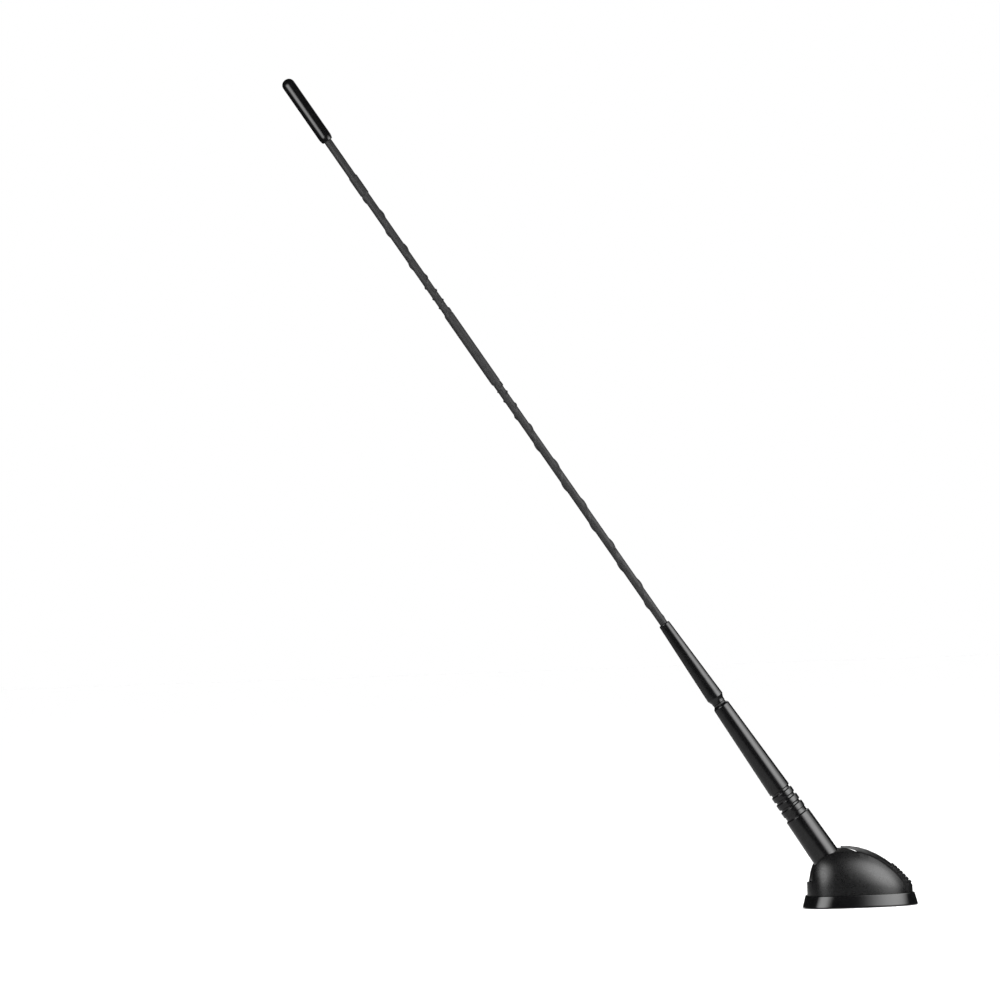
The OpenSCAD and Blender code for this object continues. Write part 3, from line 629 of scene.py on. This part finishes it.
def glow(tree, place, middle, fade_from, fade_to, strength):
    """Strength that falls smoothly to nothing as a place leaves the middle."""
    away = tree.nodes.new("ShaderNodeVectorMath")
    away.operation = "DISTANCE"
    away.inputs[1].default_value = middle
    tree.links.new(place, away.inputs[0])
    fade = tree.nodes.new("ShaderNodeMapRange")
    fade.interpolation_type = "SMOOTHSTEP"
    set_inputs(fade, From_Min=fade_to, From_Max=fade_from, To_Min=0.0, To_Max=strength)
    tree.links.new(away.outputs["Value"], fade.inputs["Value"])
    return fade.outputs["Result"]


def heading(azimuth, elevation):
    """Direction: azimuth from the side of the camera round to the rear end, elevation above level."""
    turn = math.radians(azimuth)
    lift = math.radians(elevation)
    flat = math.cos(lift)
    return Vector((flat * math.sin(turn), -flat * math.cos(turn), math.sin(lift)))


def soft_light(name, azimuth, elevation, distance, radius, radiance):
    """Round light aimed at the base, bright in its middle and fading out to its rim."""
    data = bpy.data.lights.new(name, "AREA")
    data.shape = "DISK"
    data.size = 2 * radius
    data.energy = radiance * math.pi * math.pi * radius ** 2
    data.use_nodes = True
    tree = data.node_tree
    spread = tree.nodes.new("ShaderNodeNewGeometry").outputs["Parametric"]
    strength = glow(tree, spread, (0.5, 0.5, 0), FADE_FROM, FADE_TO, 1.0)
    tree.links.new(strength, tree.nodes["Emission"].inputs["Strength"])
    made = bpy.data.objects.new(name, data)
    towards = heading(azimuth, elevation)
    made.location = BASE + towards * distance
    made.rotation_euler = towards.to_track_quat("Z", "Y").to_euler()
    bpy.context.collection.objects.link(made)


def make_world():
    """White to the camera and to matt surfaces, a dark room to glossy ones."""
    world = bpy.data.worlds.new("studio")
    bpy.context.scene.world = world
    world.use_nodes = True
    tree = world.node_tree
    path = tree.nodes.new("ShaderNodeLightPath")
    room = tree.nodes["Background"]
    set_inputs(room, Color=(1, 1, 1, 1), Strength=WORLD_DARK)
    last = room.outputs["Background"]
    for ray, strength in (("Is Diffuse Ray", WORLD_DIFFUSE), ("Is Camera Ray", WORLD_SEEN)):
        white = tree.nodes.new("ShaderNodeBackground")
        set_inputs(white, Color=(1, 1, 1, 1), Strength=strength)
        choose = tree.nodes.new("ShaderNodeMixShader")
        tree.links.new(path.outputs[ray], choose.inputs["Fac"])
        tree.links.new(last, choose.inputs[1])
        tree.links.new(white.outputs["Background"], choose.inputs[2])
        last = choose.outputs["Shader"]
    tree.links.new(last, tree.nodes["World Output"].inputs["Surface"])


def make_floor():
    """Pale paper floor that shows in no reflection."""
    floor = sheet_object("floor", FLOOR_HALF, FLOOR_HEIGHT)
    floor.visible_glossy = False
    paint(floor, Finish("paper", (0.95, 0.95, 0.95), 0.9).vary_rough(50, 0.88, 0.95).material)


def make_table():
    """Lit paper round the base, seen only in reflections in the underside of the mast."""
    table = sheet_object("table", TABLE_HALF, 0)
    lit = bpy.data.materials.new("table")
    lit.use_nodes = True
    tree = lit.node_tree
    tree.nodes.remove(tree.nodes["Principled BSDF"])
    place = tree.nodes.new("ShaderNodeTexCoord").outputs["Object"]
    strength = glow(tree, place, TABLE_MIDDLE, TABLE_FADE_FROM, TABLE_FADE_TO, TABLE_GLOW)
    light = tree.nodes.new("ShaderNodeEmission")
    tree.links.new(strength, light.inputs["Strength"])
    tree.links.new(light.outputs["Emission"], tree.nodes["Material Output"].inputs["Surface"])
    paint(table, lit)
    table.visible_camera = False
    table.visible_diffuse = False
    table.visible_shadow = False


def make_studio():
    """Floor, world, lit paper and lights."""
    make_floor()
    make_world()
    make_table()
    for name, (azimuth, elevation, distance, radius, radiance) in LIGHTS.items():
        soft_light(name, azimuth, elevation, distance, radius, radiance)


def make_camera():
    """Camera at the photograph's viewing angle, far off with a long lens."""
    azimuth = math.radians(CAMERA_AZIMUTH)
    elevation = math.radians(CAMERA_ELEVATION)
    ahead = Vector((
        math.sin(azimuth) * math.cos(elevation),
        math.cos(azimuth) * math.cos(elevation),
        -math.sin(elevation),
    ))
    data = bpy.data.cameras.new("camera")
    data.lens = CAMERA_LENS
    data.sensor_width = CAMERA_SENSOR
    data.clip_end = CAMERA_SIGHT
    camera = bpy.data.objects.new("camera", data)
    turn = ahead.to_track_quat("-Z", "Y").to_matrix().to_4x4()
    roll = Matrix.Rotation(math.radians(CAMERA_ROLL), 4, "Z")
    camera.matrix_world = Matrix.Translation(CAMERA_AIM - ahead * CAMERA_DISTANCE) @ turn @ roll
    bpy.context.collection.objects.link(camera)
    bpy.context.scene.camera = camera
    bpy.context.scene.view_settings.view_transform = "Standard"


finishes = make_finishes()
smoothing = smoothing_nodes()
slots = {row["node"]: row["material_slot"] for row in frame["record"]["subparts"]}
dress_nodes(finishes, slots, smoothing)
dress_mast(finishes, slots, smoothing)
make_studio()
make_camera()
